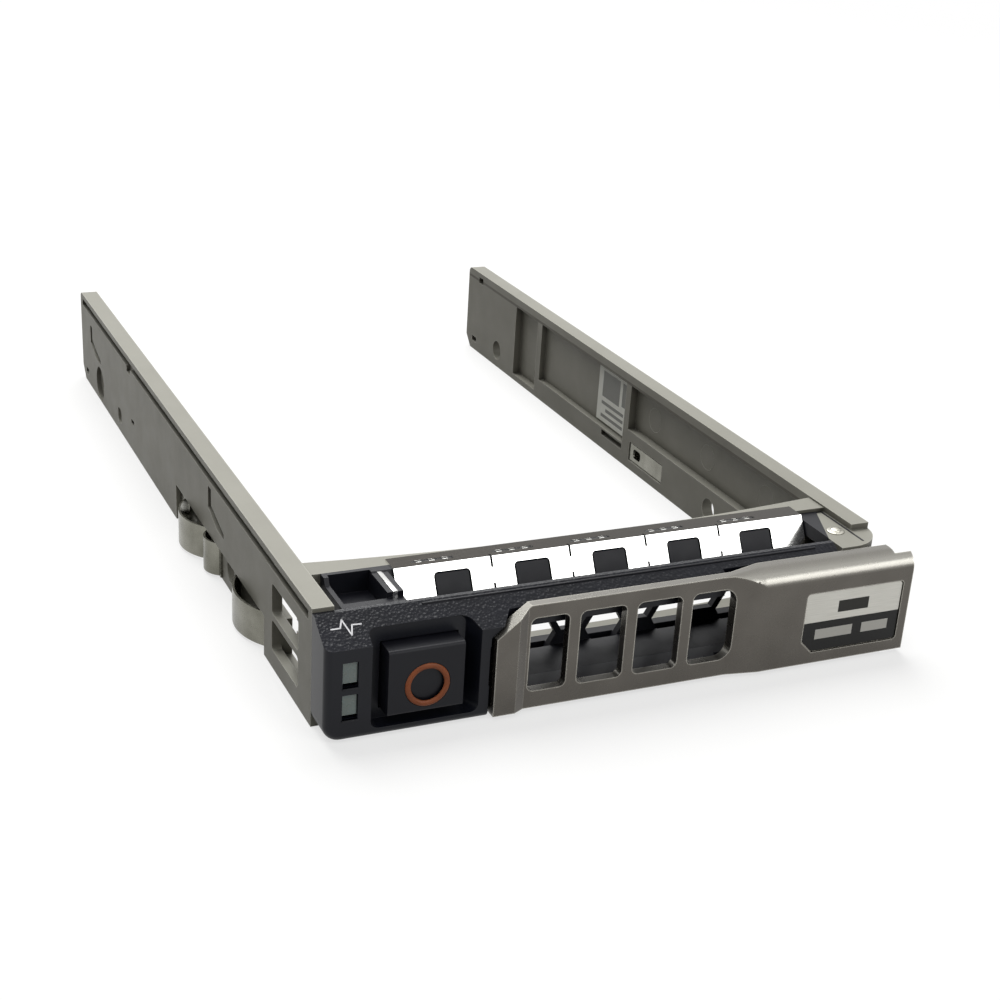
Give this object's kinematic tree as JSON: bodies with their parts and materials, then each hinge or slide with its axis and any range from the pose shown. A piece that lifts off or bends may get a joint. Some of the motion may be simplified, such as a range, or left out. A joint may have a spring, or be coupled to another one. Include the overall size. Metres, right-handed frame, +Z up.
{
  "type": "hot swap drive caddy",
  "caption": "Hot swap caddy for a small disk drive: cast U frame, vented black bezel, release button and a swinging grille handle on the right.",
  "frame": {"origin": "middle of the caddy's footprint, on the plane the rails rest on", "axes": "+X to the right seen from the handle, +Y from the handle towards the rails' rear ends, +Z up"},
  "size_m": [0.0792, 0.1322, 0.015],
  "materials": {
    "cast_frame": "satin",
    "black_moulding": "textured",
    "smooth_black": "satin",
    "pin_steel": "satin",
    "spring_wire": "satin",
    "bright_steel": "polished",
    "leaf_steel": "satin",
    "light_pipe": "gloss",
    "paper": "matte",
    "handle_grey": "satin",
    "label_plate": "satin",
    "orange": "satin"
  },
  "bodies": {
    "carrier": {"frame": "cast_frame", "bezel": "black_moulding", "vent_core": "smooth_black", "hinge_pin": "pin_steel", "handle_spring": "spring_wire", "button_spring": "spring_wire", "latch_spring": "spring_wire", "grounding_fingers": "bright_steel", "rear_leaf_left": "leaf_steel", "front_leaf_left": "leaf_steel", "rear_leaf_right": "leaf_steel", "front_leaf_right": "leaf_steel", "light_pipe_upper": "light_pipe", "light_pipe_lower": "light_pipe", "rail_label": "paper"},
    "handle": {"handle": "handle_grey", "handle_label": "label_plate"},
    "button": {"release_button": "smooth_black", "button_ring": "orange"},
    "latch": {"latch": "smooth_black"}
  },
  "joints": [
    {"name": "handle_hinge", "type": "hinge", "parent": "carrier", "child": "handle", "pos_m": [0.033, -0.0579, 0.0075], "axis": [0, 0, 1], "range_deg": [0, 40]},
    {"name": "button_press", "type": "slide", "parent": "carrier", "child": "button", "axis": [0, 1, 0], "range_m": [0, 0.0015], "stiffness_N_per_m": 400, "springref_m": -0.0015, "deforming": ["button_spring"]},
    {"name": "latch_slide", "type": "slide", "parent": "carrier", "child": "latch", "axis": [-1, 0, 0], "range_m": [0, 0.0015], "stiffness_N_per_m": 200, "springref_m": -0.001, "deforming": ["latch_spring"]}
  ],
  "couplings": [
    {"joint": "latch_slide", "follows": "button_press", "ratio": 1}
  ]
}
